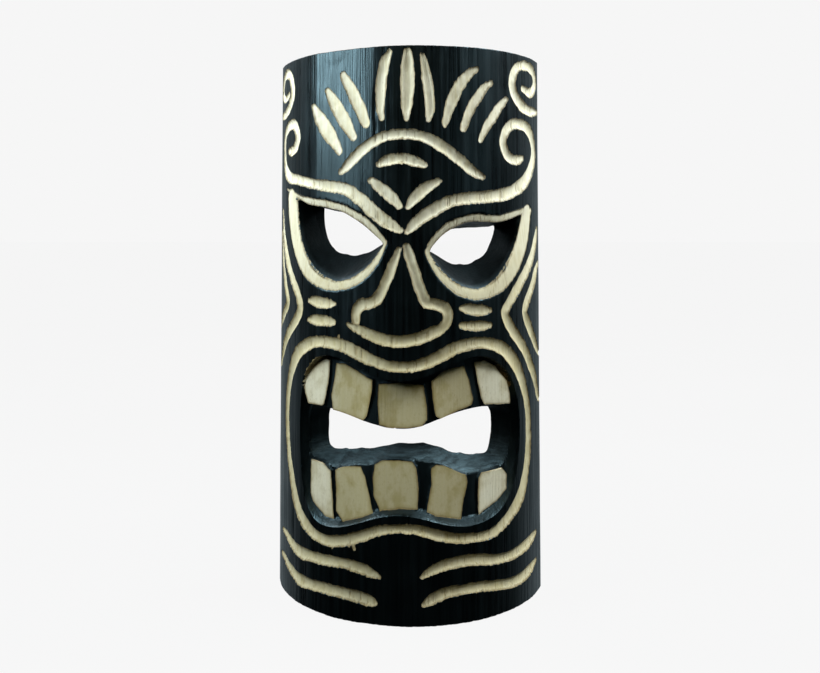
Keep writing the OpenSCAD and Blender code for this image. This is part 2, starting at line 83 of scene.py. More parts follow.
# ---- the carving: [arc, height, width] of each gouged line --------------------
LINES = {
    "hair": [
        [[-52.5, 276.5, 4], [-47.5, 270, 7.8], [-41, 261.5, 8.2], [-34.5, 252.5, 4.5]],
        [[-42.5, 284, 4], [-37, 276.5, 7.4], [-31, 268, 7.6], [-25.5, 259.5, 5]],
        [[-32, 291.5, 4], [-27.5, 284.5, 6.8], [-21.5, 274, 7], [-18, 266, 5]],
        [[-4.5, 302, 2.5], [-7.5, 296, 5.5], [-9.3, 285, 6], [-9.8, 275, 5], [-8.8, 268, 3]],
        [[5, 302, 4], [5, 295, 7], [5, 285, 7.5], [4.5, 275, 6], [4.5, 268, 3]],
        [[13, 300, 2.5], [14, 295, 4.5], [15.5, 287, 5.5], [16.5, 280, 5.5], [17, 273, 5], [16, 267.5, 3]],
        [[43.5, 294.5, 3], [38, 291, 5.5], [32.5, 284, 6], [29, 277, 6], [26, 269, 4.5], [25, 265, 3]],
        [[53, 288, 3], [47.5, 284, 5], [42, 277, 5.5], [38, 270, 5], [35.5, 263, 3.5]],
        [[64.5, 280.5, 3], [60, 277, 5], [54.5, 270.5, 5.5], [49.5, 264.5, 5], [46, 258, 3.5]],
    ],
    "brow": [
        [[-33, 241.5, 3.5], [-28, 245.5, 6], [-20, 252, 6], [-11, 257.5, 5.5], [0, 260, 5.5],
         [12, 259, 5.5], [22, 254.5, 6], [32, 248, 6], [41, 241.5, 5.5], [47, 238.5, 3.5]],
        [[-10, 244.5, 3.5], [-6, 246.5, 6], [2, 247.5, 5.5], [9, 246, 5.5], [14, 244, 3.5]],
        [[-15, 236.5, 3], [-10, 233, 5.5], [-4, 228, 6], [0.5, 223, 3.5]],
        [[21.5, 236, 3.5], [15.5, 233, 6], [9.5, 228, 6], [5, 222.5, 3]],
        [[1, 210.5, 3.5], [-4, 213.5, 6], [-12, 219, 7], [-20, 226, 7], [-30, 232, 6.5],
         [-42, 234, 6], [-55, 236, 5.5], [-68, 238.5, 6], [-78, 240, 6.5], [-85, 244, 7],
         [-88.5, 251, 6.5], [-89, 259, 5.5], [-86, 265.5, 5.5], [-80, 269, 5.5], [-73, 269, 6],
         [-69, 265, 6], [-68.5, 260, 6], [-71.5, 256, 5.5], [-76, 254.5, 5.5], [-80, 255, 4]],
        [[5, 210, 3.5], [10, 215, 6], [18, 220.5, 7], [28, 225.5, 6.5], [40, 227.5, 6.5],
         [52, 228.5, 6.5], [64, 230, 7], [74, 233.5, 7.5], [84, 239, 8], [91.5, 246, 8],
         [95, 254, 8], [92, 262, 7.5], [85, 267, 7], [76, 268.5, 6], [68, 267, 6],
         [63, 262, 6], [62, 256, 6], [65.5, 250.5, 6], [71, 248.5, 5.5], [75.5, 249, 5], [79.5, 250, 3.5]],
    ],
    "curl": [
        [[-97, 276, 3.5], [-88, 276, 5], [-79.5, 280, 6], [-75, 287, 6], [-77, 294, 6],
         [-83, 298, 5.5], [-90, 297, 5], [-94, 291.5, 5], [-92.5, 286.5, 4.5], [-87, 284.5, 4], [-81, 286.5, 3.5]],
        [[103, 277.5, 2.5], [96, 277, 5], [88, 276.5, 6], [79, 278.5, 6.5], [72, 283.5, 6.5],
         [69.5, 290, 6.5], [72, 296.5, 6], [78, 300, 5.5], [87, 300.5, 5.5], [95, 298.5, 6],
         [98, 293.5, 6.5], [95, 289, 5.5], [88, 286.5, 5.5], [80, 288, 4]],
    ],
    "rim": [
        [[-82.5, 233.5, 1.5], [-76, 231.5, 2.5], [-68, 229, 3], [-58, 226.5, 4], [-46, 225, 4],
         [-34, 222.5, 4], [-26, 219.5, 4], [-18, 215, 4], [-12, 209.5, 3.5], [-7.5, 204.5, 3]],
        [[-7, 204, 2], [-9.5, 198.5, 2.5], [-13.5, 192.5, 3.5], [-19, 187, 4.5], [-26, 183, 5],
         [-36, 181, 5], [-46, 182.5, 6], [-55, 186.5, 7], [-62, 192.5, 8], [-68, 200.5, 8.5],
         [-72.5, 209.5, 9], [-75.5, 219.5, 10], [-76.5, 229, 10]],
        [[15.5, 200, 2.5], [18.5, 205, 3.5], [24, 210.5, 4], [31, 214.5, 4], [40, 217, 4],
         [50, 217, 4], [60, 217, 4], [70, 219, 4], [80, 221, 3.5], [90, 222, 2.5]],
        [[15.5, 199.5, 2.5], [17.5, 194.5, 3], [21.5, 188.5, 3.5], [27, 183, 4.5], [34, 178.5, 5.5],
         [44, 176.5, 6], [54, 178.5, 6.5], [63, 183.5, 8], [70, 190, 9], [75.5, 197, 9.5],
         [80, 204.5, 10], [83, 212, 9.5], [85.5, 220.5, 9]],
    ],
    "cheek": [
        [[-93, 222, 3], [-91, 212, 6], [-86.5, 202, 6.5], [-80, 190.5, 6.5], [-73, 182, 6.5],
         [-66.5, 174.5, 6.5], [-64.5, 167.5, 6.5], [-68.5, 161, 6.5], [-76, 155, 6.5],
         [-84, 148, 6.5], [-90, 141, 6], [-96, 133, 4]],
        [[-96, 210, 3], [-92.5, 198, 5], [-88.5, 187, 5.5], [-84, 177, 5.5], [-81, 170, 6],
         [-86, 164.5, 6], [-94, 159, 5.5], [-102, 154, 3.5]],
        [[100, 211, 4], [97, 205, 6.5], [92, 197, 7], [85, 189.5, 7], [77, 182, 7], [69, 174, 6.5],
         [63, 166.5, 6], [66, 159.5, 6.5], [73, 152, 7], [81, 144, 7], [88, 135.5, 7],
         [94.5, 126, 6.5], [100, 116.5, 6], [104, 112.5, 3]],
        [[103, 192, 3.5], [98, 188, 6], [92, 180, 6.5], [85, 172, 6.5], [81.5, 165.5, 6],
         [85, 159, 6.5], [91.5, 151, 6.5], [98, 144, 5.5], [104, 139.5, 3.5]],
        [[-55, 172.5, 3], [-50, 172, 6], [-42, 171.5, 6], [-36.5, 171.5, 2.5]],
        [[-56, 162, 3], [-50, 162, 6], [-42, 162, 6], [-37.5, 161.5, 4]],
        [[34, 169.5, 3], [39, 169, 6], [47, 168, 6], [52, 168, 2.5]],
        [[34, 160.5, 3.5], [40, 160, 5.5], [47, 160, 5.5], [52, 160, 3]],
    ],
    "nose": [
        [[0.5, 200.5, 3], [-2.5, 193, 5], [-6.5, 183.5, 5.5], [-10.5, 175.5, 6], [-15, 172.5, 6],
         [-20, 171.5, 6.5], [-23, 167.5, 6], [-23, 162.5, 4]],
        [[4.5, 202, 4], [6, 197, 5.5], [9, 188, 5.5], [12, 179, 6], [15, 173, 6], [20, 172, 6.5],
         [25, 169.5, 6.5], [26.5, 165, 5.5], [24, 160, 5.5], [18, 157, 6.5], [10, 154, 6.5],
         [0, 152.5, 6.5], [-8, 153.5, 6.5], [-15, 156, 6], [-22, 158.5, 5], [-28, 161, 2]],
    ],
    "chin": [
        [[-88, 36, 3], [-80, 35, 5], [-72, 32, 6.5], [-63, 30, 7.5], [-52, 30.5, 6.5], [-40, 31, 6.5],
         [-30, 31.5, 6], [-20, 30, 6.5], [-14, 28, 5.5], [-10.5, 26.5, 2.5]],
        [[-91, 21, 3], [-84, 20.5, 5], [-75, 17, 6], [-63, 14, 7.5], [-52, 14.5, 6.5], [-40, 15, 6.5],
         [-30, 15, 6.5], [-20, 14, 7], [-15, 13, 6], [-12, 12, 3]],
        [[12.5, 27, 2.5], [17, 30, 5], [25, 33, 6.5], [34, 34, 6.5], [44, 33.5, 6.5], [55, 31.5, 6],
         [66, 31, 6], [78, 32.5, 7], [88, 34.5, 6.5], [94, 36.5, 3]],
        [[13.5, 12, 3], [18, 15, 6], [26, 18, 6.5], [34, 18.5, 6], [44, 18.5, 6], [55, 17, 6],
         [66, 15.5, 6], [76, 15.5, 7], [86, 17.5, 7], [94, 20, 3]],
    ],
    "lip": [
        [[-40, 150.5, 6.5], [-30, 149, 7], [-20, 145, 7], [-10, 141, 6], [2, 139, 6], [12, 140.5, 6.5],
         [22, 144.5, 7], [32, 149, 7], [42, 151, 6.5], [52, 150, 6.5], [61, 146.5, 7.5], [69, 140, 8],
         [75.5, 131.5, 7.5], [80.5, 122, 7], [84, 111, 6.5], [85, 100, 6.5], [84.5, 88, 7], [82, 77, 7.5],
         [77.5, 66, 8], [71, 58, 8], [62, 51, 6.5], [52, 46.5, 5.5], [40, 46, 5.5], [30, 47, 5.5],
         [20, 49.5, 6], [10, 52.5, 5.5], [0, 53, 5], [-10, 51.5, 5.5], [-19, 48, 6.5], [-28, 44.5, 6.5],
         [-40, 42, 6.5], [-50, 43.5, 6.5], [-59, 48, 7.5], [-65.5, 54.5, 7.5], [-70, 63, 7], [-74, 74, 6.5],
         [-77.5, 85, 6], [-80, 97, 6], [-80.5, 108, 6], [-79, 119, 6.5], [-75, 130, 7], [-69.5, 139, 8],
         [-61, 146, 7.5], [-50, 150, 6.5]],
    ],
}
CHIPS = [[[-24.5, 44, 2.5], [-23.5, 40, 1.6]], [[-26.5, 43, 1.4], [-26.5, 40.8, 1]],
         [[-37, 40, 1.2], [-37, 38.4, 0.8]], [[-33.5, 155, 1], [-33.5, 153, 1]]]

# eyes: rim of the socket at the face, and the hole where it breaks through at the back
EYE_RIM = [
    [[-8.5, 203.5], [-13, 208], [-20, 213.5], [-27, 217.5], [-34, 220.5], [-46, 223], [-58, 224.5], [-69.5, 227.5],
     [-70.5, 222], [-68.5, 213], [-64.5, 203.5], [-58.5, 195.5], [-51.5, 189.5], [-43.5, 185.5], [-35, 183.5],
     [-27, 185.5], [-20.5, 189], [-15, 194], [-11, 199]],
    [[17, 199.5], [20, 204], [25, 208.7], [32, 212.5], [40, 215], [50, 215], [60, 215], [70, 216.8], [80.5, 219],
     [78.5, 212.5], [75, 205.5], [71, 199.5], [66, 193.5], [60, 187.5], [52.5, 182], [44, 179.5], [35, 181.5],
     [28.5, 185.5], [23, 190.5], [19, 195.5]],
]
EYE_HOLE = [
    [[-10.5, 204.3], [-15, 209], [-20, 212.7], [-26, 216], [-33, 218.6], [-40, 219.8], [-48, 220.6], [-57, 221.6],
     [-64, 222.6], [-68.6, 223.4], [-68.8, 219], [-67, 212.5], [-64, 206.8], [-59.5, 202.3], [-53.5, 199.5],
     [-46, 197.8], [-38, 197], [-31, 197.3], [-24.5, 198.8], [-18.5, 201], [-13.5, 203]],
    [[18, 199.8], [21, 203.3], [26, 207.2], [32, 210.2], [39, 211.4], [47, 211.8], [55, 212], [63, 212.3], [71, 212.6],
     [76.8, 213], [76.3, 209.5], [73.8, 205.3], [70, 201], [65.5, 197.8], [59.5, 195], [52, 192.9], [44, 192.2],
     [37, 192.8], [31, 194.5], [26, 196.8], [21, 199]],
]
# mouth: edge of the recess at the face, of its floor, of the slit at the teeth and of the slit at the back
RECESS = [[-63.5, 100], [-63, 86], [-61.5, 73], [-57.5, 60.5], [-52, 53.5], [-46, 50.5], [-38, 50], [-30, 51.5],
          [-20, 55], [-10, 58.5], [0, 60], [10, 59], [20, 56], [30, 53.5], [40, 52.8], [50, 54.5], [58, 58],
          [65, 64.5], [70.5, 74], [74, 88], [75, 100], [74, 113], [70.5, 124], [65, 133], [58, 139], [50, 142.8],
          [42, 143.6], [33, 141.5], [22, 137], [12, 133.2], [1, 131.5], [-9, 133.2], [-19, 137], [-29, 141],
          [-39, 143.4], [-48, 142], [-56, 135.5], [-61, 126], [-63, 113]]
FLOOR = [[-62.5, 100], [-62, 87], [-59.5, 75], [-55, 63.5], [-50, 57], [-45, 54], [-38, 53.2], [-30, 54.5],
         [-20, 58], [-10, 61.7], [0, 63.2], [10, 62.2], [20, 59.2], [30, 56.5], [40, 55.8], [49, 57.5], [56, 61.5],
         [62, 67.5], [67.5, 76.5], [71.8, 88.5], [74, 100], [73, 112.5], [69.3, 123.3], [64, 132], [57.3, 138],
         [50, 142], [42, 143], [33, 141], [22, 136.5], [12, 132.7], [1, 131], [-9, 132.7], [-19, 136.5],
         [-29, 140.5], [-39, 142.8], [-47.5, 141.3], [-55, 135], [-60, 125.5], [-62, 112.5]]
SLIT = [[-62, 100], [-61.9, 93], [-60.6, 87], [-56.5, 84.2], [-50, 82.8], [-44, 81.8], [-39, 80.6], [-33, 82.5], [-24, 84.5],
        [-17, 85], [-10, 87.8], [-3, 89], [5, 88.8], [13, 87.4], [22, 86.4], [30, 82.8], [38, 79.3], [46, 79.2],
        [56, 79.4], [63.5, 80.2], [68.4, 82.8], [71.2, 89], [73, 96], [73.4, 103], [72.5, 110], [68, 114.2], [56, 115],
        [47, 115.3], [38, 114.3], [30, 112.6], [22, 110], [13, 107], [4, 105.4], [-6, 105.8], [-15, 107.4],
        [-24, 109.6], [-32, 111.6], [-40, 113.2], [-50, 114.2], [-58, 113.8], [-61.4, 108]]
SLIT_BACK = [[-60.6, 100], [-60.5, 94.5], [-59, 89.8], [-55.5, 88.2], [-48, 88.6], [-40, 89.6], [-30, 90.8], [-20, 91.8],
             [-12, 93], [-4, 94.7], [5, 95.3], [13, 95.2], [20, 94.2], [27, 92.4], [34, 90], [43, 88], [52, 86.8],
             [60, 86], [66, 86.4], [69.4, 89.8], [71.4, 96], [71.8, 102], [70.8, 109.5], [66, 112.2], [56, 113],
             [47, 113.3], [38, 112.3], [30, 110.8], [22, 108.5], [13, 106.2], [4, 104.8], [-6, 105], [-15, 106.4],
             [-24, 108.2], [-32, 110], [-40, 111.5], [-50, 112.4], [-57, 112.2], [-60.2, 107]]
# teeth: outline of the bare face of each, on the floor of the recess
TEETH = [
    [[-62, 128.5], [-55.5, 135], [-48, 140.3], [-46, 141], [-43, 140.5], [-43.2, 134], [-44, 128], [-47, 115.5], [-49, 114.5], [-58.5, 115], [-60.5, 120.5]],
    [[-38.5, 139], [-33, 138.8], [-25, 135.6], [-15, 131.2], [-15.3, 125], [-18.5, 111.5], [-21, 108.8], [-29.5, 110.8], [-40.5, 113.4],
     [-41.5, 121], [-39.7, 130]],
    [[-11.5, 129.2], [0, 130], [13.7, 129], [15.5, 118], [15.7, 110.5], [13, 107], [4, 105.6], [-6, 105.9], [-11, 107.3], [-12, 119]],
    [[18.2, 131], [25, 136], [37.5, 138.5], [41, 130], [43, 120], [42, 117], [34, 114.2], [24, 110], [20.8, 112], [19, 121]],
    [[44, 140], [51, 140.5], [58, 137], [65, 128.5], [67, 121.5], [67, 115.5], [50.5, 116.5], [48.5, 120], [46.5, 128]],
    [[-56.5, 84], [-49, 83.5], [-42, 79.5], [-39.5, 53], [-46.5, 53.5], [-55, 60.5], [-56.5, 65.5]],
    [[-38.6, 80.3], [-36, 82.8], [-31, 83.4], [-22.5, 84], [-19.6, 79], [-14.5, 59.5], [-21.5, 56.2], [-34, 52.4], [-37.8, 58]],
    [[-13.5, 86], [-9.5, 88.2], [0, 88.6], [8, 87.8], [9.7, 85], [11, 74], [10.5, 62.2], [0, 62.2], [-10.7, 60.8], [-14.2, 69], [-14.8, 79]],
    [[18, 84], [21, 86.2], [28, 84.8], [38.5, 79.6], [39.3, 75], [37, 66], [35.5, 55.2], [21, 58], [15.3, 60.8], [16.5, 67], [18.2, 75]],
    [[46.5, 76.5], [48.5, 79.5], [55.5, 80], [62.5, 80.5], [65.5, 76.5], [65.5, 68.5], [59, 62.5], [46.5, 56.5], [46, 66]],
]
# how far each facet leans out towards the side of the log, and how much it is dished, in mm
LEAN = [(-43, -63, 3.4), None, None, None, (46, 68, 3.8), (-40, -57, 1.8), None, None, None, (46, 66, 2.4)]
DISH = (0.0, 0.6, 0.35, 0.5, 0.1, 0.1, 0.45, 0.4, 0.5, 0.35)


def tooth_outline(A, Z, k):
    wa, wz = hand_wobble(A, Z)
    return polygon_sd(A + 0.6 * wa, Z + 0.6 * wz, TEETH[k], 6.0, 1.0, True)


# where the bare wood of a tooth breaks off in a rough brown facet
BURNT = [
    [[-63.6, 127], [-62.4, 132], [-58, 137.6], [-52, 141.6], [-45, 142.2], [-46, 141], [-48, 140.3], [-55.5, 135], [-62, 128.5]],
    [[58.5, 138.5], [64.5, 133], [69, 126], [70.3, 116.5], [67, 115.5], [67, 121.5], [65, 128.5], [58, 137]],
]


def spline(points, closed=False, step=0.6):
    """A smooth curve through the points, sampled about every step mm."""
    p = np.array(points, float)
    n = len(p)
    if not closed:
        p = np.vstack([2 * p[0] - p[1], p, 2 * p[-1] - p[-2]])
        spans = [(i, i + 1, i + 2, i + 3) for i in range(n - 1)]
    else:
        spans = [((i - 1) % n, i, (i + 1) % n, (i + 2) % n) for i in range(n)]
    out = []
    for i0, i1, i2, i3 in spans:
        p0, p1, p2, p3 = p[i0], p[i1], p[i2], p[i3]
        k = max(2, int(np.linalg.norm((p2 - p1)[:2]) / step))
        t = (np.arange(k) / k)[:, None]
        out.append(0.5 * (2 * p1 + (p2 - p0) * t + (2 * p0 - 5 * p1 + 4 * p2 - p3) * t ** 2
                          + (3 * p1 - p0 - 3 * p2 + p3) * t ** 3))
    out = np.vstack(out)
    if not closed:
        out = np.vstack([out, p[-2]])
        out[:, 2:] = np.maximum(out[:, 2:], 0.5)
    return out


def near(A, Z, lo, hi):
    return np.nonzero((A > lo[0]) & (A < hi[0]) & (Z > lo[1]) & (Z < hi[1]))[0]


def line_fields(A, Z, curves, reach=9.0):
    """For each point: signed distance to the edge of the nearest line (negative in it), its half width, how far along,
    how level it runs, and how deep that line is cut (0 for the rim lines, 1 for the rest)."""
    n = len(A)
    sd = np.full(n, 99.0)
    half, along, level, depth_k = np.full(n, 3.0), np.zeros(n), np.zeros(n), np.ones(n)
    for curve, flat in curves:
        c = curve[:, :2]
        w = curve[:, 2] / 2
        seg = np.linalg.norm(np.diff(c, axis=0), axis=1)
        s = np.concatenate([[0], np.cumsum(seg)])
        tan = np.gradient(c, axis=0)
        tan /= np.maximum(np.linalg.norm(tan, axis=1)[:, None], 1e-9)
        B = 12
        for i in range(0, len(c) - 1, B):
            j = min(i + B + 1, len(c))
            lo, hi = c[i:j].min(0) - reach, c[i:j].max(0) + reach
            idx = near(A, Z, lo, hi)
            if not len(idx):
                continue
            pa, pz = A[idx], Z[idx]
            best = np.full(len(idx), 99.0)
            bh = np.zeros(len(idx)); bs = np.zeros(len(idx)); bl = np.zeros(len(idx))
            for k in range(i, j - 1):
                d = c[k + 1] - c[k]
                L = max(d @ d, 1e-9)
                t = np.clip(((pa - c[k, 0]) * d[0] + (pz - c[k, 1]) * d[1]) / L, 0, 1)
                q = np.hypot(pa - c[k, 0] - d[0] * t, pz - c[k, 1] - d[1] * t)
                h = w[k] + (w[k + 1] - w[k]) * t
                m = q - h < best
                best[m] = (q - h)[m]; bh[m] = h[m]
                bs[m] = (s[k] + (s[k + 1] - s[k]) * t)[m]
                bl[m] = abs(tan[k, 0])
            m = best < sd[idx]
            k2 = idx[m]
            sd[k2] = best[m]; half[k2] = bh[m]; along[k2] = bs[m]; level[k2] = bl[m]; depth_k[k2] = flat
    return sd, half, along, level, depth_k


def polygon_sd(A, Z, pts, reach=40.0, step=1.2, sharp=False):
    """Signed distance to a closed outline, negative inside it; 99 beyond reach."""
    c = np.array(pts, float) if sharp else spline(pts, True, step)[:, :2]
    sd = np.full(len(A), 99.0)
    lo, hi = c.min(0) - reach, c.max(0) + reach
    idx = near(A, Z, lo, hi)
    if not len(idx):
        return sd
    pa, pz = A[idx], Z[idx]
    best = np.full(len(idx), 1e9)
    inside = np.zeros(len(idx), bool)
    m = len(c)
    for k in range(m):
        p, q = c[k], c[(k + 1) % m]
        d = q - p
        L = max(d @ d, 1e-9)
        t = np.clip(((pa - p[0]) * d[0] + (pz - p[1]) * d[1]) / L, 0, 1)
        best = np.minimum(best, (pa - p[0] - d[0] * t) ** 2 + (pz - p[1] - d[1] * t) ** 2)
        if p[1] != q[1]:
            cross = ((p[1] > pz) != (q[1] > pz)) & (pa < (q[0] - p[0]) * (pz - p[1]) / (q[1] - p[1]) + p[0])
            inside ^= cross
    best = np.sqrt(best)
    sd[idx] = np.where(inside, -best, best)
    return sd


CURVES = []
for name, group in LINES.items():
    for line in group:
        CURVES.append((spline(line + ([line[0]] if name == "lip" else []), False) if name != "lip"
                       else np.vstack([spline(line, True), spline(line, True)[:1]]),
                       {"rim": 0.0}.get(name, 1.0)))
for line in CHIPS:
    CURVES.append((spline(line), 1.0))
RIM_CURVES = [c for c in CURVES if c[1] == 0.0]


def between(sd_out, sd_in):
    """0 on the outer outline, 1 on the inner one, for points between them."""
    a, b = np.maximum(-sd_out, 0), np.maximum(sd_in, 0)
    return a / np.maximum(a + b, 1e-6)


def hand_wobble(A, Z):
    """How far the gouge strays from a drawn line."""
    wa = 0.24 * noise(A / 4.3, Z / 4.3, 71) + 0.13 * noise(A / 1.5, Z / 1.9, 72)
    wz = 0.24 * noise(A / 4.3, Z / 4.3, 73) + 0.13 * noise(A / 1.5, Z / 1.9, 74)
    return wa, wz


# dents and a long check in the log that the paint runs over: [arc, height, half width, half length, depth]
DENTS = [[-12.6, 276, 0.8, 8, 0.55], [-12.2, 259, 0.7, 5, 0.4], [-47, 291, 7, 7, 0.25], [-38, 297, 5, 3, 0.25],
         [-33, 299, 2, 2.5, 0.2], [41, 272, 1.2, 12, 0.25], [-30, 172, 2.0, 6, 0.2],
         [60, 210, 1.2, 9, 0.2], [-70, 46, 1.5, 10, 0.25], [31, 10, 2.0, 5, 0.25], [-5, 8, 3.0, 4, 0.2]]
# long flats left by the plane: [from arc, to arc, from height, to height, how flat]
FLATS = [[-50, -13.6, 205, 330, 0.55], [-86, -64, 150, 330, 0.3], [14, 40, 190, 330, 0.2], [-30, 6, -40, 45, 0.25]]


def carve(A, Z):
    """Depth below the face at each point of it, and the fields that the paint follows."""
    wa, wz = hand_wobble(A, Z)
    sd, half, along, level, cut = line_fields(A + wa, Z + wz, CURVES)
    x = np.clip(1 + sd / np.maximum(half, 0.3), 0, None)      # 0 in the middle, 1 at the edge
    full = np.minimum(half * 0.40, 1.4)
    depth = np.where(sd < 0, full * (1 - np.minimum(x, 1) ** 2.3), 0) * cut
    # chatter of the gouge, strongest where it cuts across the grain
    chat = noise(along / 2.3, A * 0.05 + Z * 0.05, 5) * 0.13 + noise(A / 1.2, Z / 9.0, 8) * 0.09 * level
    depth = depth + np.where(sd < -0.3, chat * smooth(0.3, 1.2, -sd), 0) * cut
    wood = sd.copy()
    # sockets of the eyes: a flat pale bevel, then a scooped wall down to the hole
    for rim, hole in zip(EYE_RIM, EYE_HOLE):
        so, si = polygon_sd(A, Z, rim), polygon_sd(A, Z, hole)
        t = between(so, si)
        low = smooth(0.0, 1.0, t)
        wall_d = 1.9 + (WALL + 0.3 - 1.9) * (0.85 * t + 0.15 * low) + 0.22 * noise(A / 7.0 + 3, Z / 7.0, 21) * np.sin(np.pi * np.clip(t, 0, 1))
        d = np.where(so < 0, np.where(si < 0, np.minimum(24.0, WALL + 0.3 - 2.2 * si), wall_d), 0)
        bevel = np.where(so >= 0, 1.9 * np.exp(-np.maximum(so, 0) / 5.0) - 0.1, 0)
        lip = (so >= 0) & (so < 0.9)                  # the bare bevel always reaches the socket
        sr_ = np.where(lip, np.minimum(sd, so - 0.9), sd)
        band = ((cut < 0.5) & (sd < 0.6) & (so >= 0) & (so < 14)) | lip
        d = np.where(band, np.maximum(0.25, bevel) * smooth(0.6, -0.4, sr_), d)
        wood = np.where(lip, np.minimum(wood, so - 0.9), wood)
        depth = np.maximum(depth, d)
        wood = np.where(so < 4, np.maximum(wood, np.minimum(-so * 4.0, 6.0)), wood)
    # the mouth
    sr, sf = polygon_sd(A, Z, RECESS), polygon_sd(A, Z, FLOOR)
    ss, sb = polygon_sd(A, Z, SLIT), polygon_sd(A, Z, SLIT_BACK)
    t1, t2 = between(sr, sf), between(ss, sb)
    floor_d = 5.0 + 0.25 * noise(A / 9.0, Z / 12.0, 31)
    d = np.where(sr < 0, floor_d * smooth(0, 1, t1) * 0.35 + floor_d * t1 * 0.65, 0)
    d = np.where(sf < 0, floor_d, d)
    d = np.where(ss < -0.02, 5.0 + (WALL + 0.4 - 5.0) * (0.75 * t2 + 0.25 * smooth(0, 1, t2)) + 0.22 * noise(A / 11.0, Z / 4.0, 33) * np.minimum(1, 4 * t2) * (1 - t2), d)
    d = np.where(sb < 0, np.minimum(24.0, WALL + 0.4 - 2.2 * sb), d)
    depth = np.where(sr < 0, d, depth)
    wood = np.where(sr < 0, 6.0, wood)
    tooth = np.zeros(len(A))
    for k, t in enumerate(TEETH):
        st = tooth_outline(A, Z, k)
        c = np.array(t)
        mid, reach = (c[:, 0].min() + c[:, 0].max()) / 2, (c[:, 0].max() - c[:, 0].min()) / 2
        rf = r_at(Z) - 5.0
        th = (A - mid) / ARC_R
        plane = rf * math.cos(reach / ARC_R * 0.62) / np.cos(np.clip(th, -0.4, 0.4))
        flat = r_at(Z) - plane - 0.35 + DISH[k] * (1 - np.clip((A - mid) / reach, -1, 1) ** 2)
        if LEAN[k]:
            a0, a1, lean = LEAN[k]
            flat = flat - lean * np.clip((A - a0) / (a1 - a0), -0.1, 1.15)
        on = smooth(0.9, 0.0, st) * (sr < -0.0) * (ss > -0.02)
        depth = np.where((on > 0) & (sr < 0), depth * (1 - on) + (flat) * on, depth)
        m = (st < wood) & (sr < 0.3)
        wood = np.where(m, st, wood)
        tooth = np.where(st < 0.8, 1.0, tooth)
    grooved = (sf < -0.2) & (ss > -0.02) & (wood > 0.1) & (sr < 0)
    depth = depth + np.where(grooved, 0.6 * smooth(0.1, 0.9, wood), 0)
    wood = np.where(ss < -0.02, np.maximum(wood, -2.0 * ss), wood)
    for p in BURNT:                                  # rough unpainted slope beside a tooth
        sp = polygon_sd(A, Z, p, 4.0, 1.0, True)
        wood = np.where(sr < 0.6, np.minimum(wood, sp), wood)
    return depth, wood, along, level, tooth, sd


def face(A, Z):
    """Radius of the finished face at each point."""
    depth, *_ = carve(A, Z)
    # the log was planed and sanded by hand, so the face has long shallow flats and a little grain
    for a, z, ha, hz, dd in DENTS:
        depth = depth + dd * np.exp(-((A - a) / ha) ** 2 - ((Z - z) / hz) ** 2)
    for a0, a1, z0, z1, k in FLATS:
        mid, half = (a0 + a1) / 2, (a1 - a0) / 2
        chord = ARC_R * (1 - math.cos(half / ARC_R) / np.cos(np.clip((A - mid) / ARC_R, -1, 1)))
        depth = depth + k * np.maximum(chord, 0) * smooth(z0, z0 + 30, Z) * smooth(z1, z1 - 20, Z)
    hand = 0.30 * fbm(A / 26.0, Z / 120.0, 40, 2) + 0.10 * noise(A / 6.5, Z / 60.0, 44) + 0.035 * noise(A / 1.6, Z / 26.0, 47)
    shy = np.clip(1 - depth / 3.0, 0.15, 1)
    return r_at(Z) - depth + hand * shy


def object_from(name, verts, faces):
    me = bpy.data.meshes.new(name)
    me.from_pydata([tuple(v) for v in verts], [], faces)
    me.update()
    ob = bpy.data.objects.new(name, me)
    bpy.context.scene.collection.objects.link(ob)
    return ob


def grid_faces(nu, nv, base=0, flip=False):
    i = np.arange(nu - 1)[None, :] + np.arange(nv - 1)[:, None] * nu + base
    q = np.stack([i, i + 1, i + 1 + nu, i + nu], -1).reshape(-1, 4)
    return (q[:, ::-1] if flip else q).tolist()


def edge_fields(A, Z):
    """Distance to every edge where the surface turns sharply."""
    wa, wz = hand_wobble(A, Z)
    sd, _, _, _, cut = line_fields(A + wa, Z + wz, CURVES)
    sr = polygon_sd(A, Z, RECESS)
    out = [np.where((cut < 0.5) | (sr < 0.5), 99.0, sd), sr, polygon_sd(A, Z, FLOOR), polygon_sd(A, Z, SLIT), polygon_sd(A, Z, SLIT_BACK)]
    for rim, hole in zip(EYE_RIM, EYE_HOLE):
        so = polygon_sd(A, Z, rim)
        out += [so, polygon_sd(A, Z, hole)]
        out[0] = np.where(so < 0.5, 99.0, out[0])
    for k in range(len(TEETH)):
        st = tooth_outline(A, Z, k)
        out.append(np.where((out[1] < -0.3) & (out[3] > 0.3), st, 99.0))
    return out


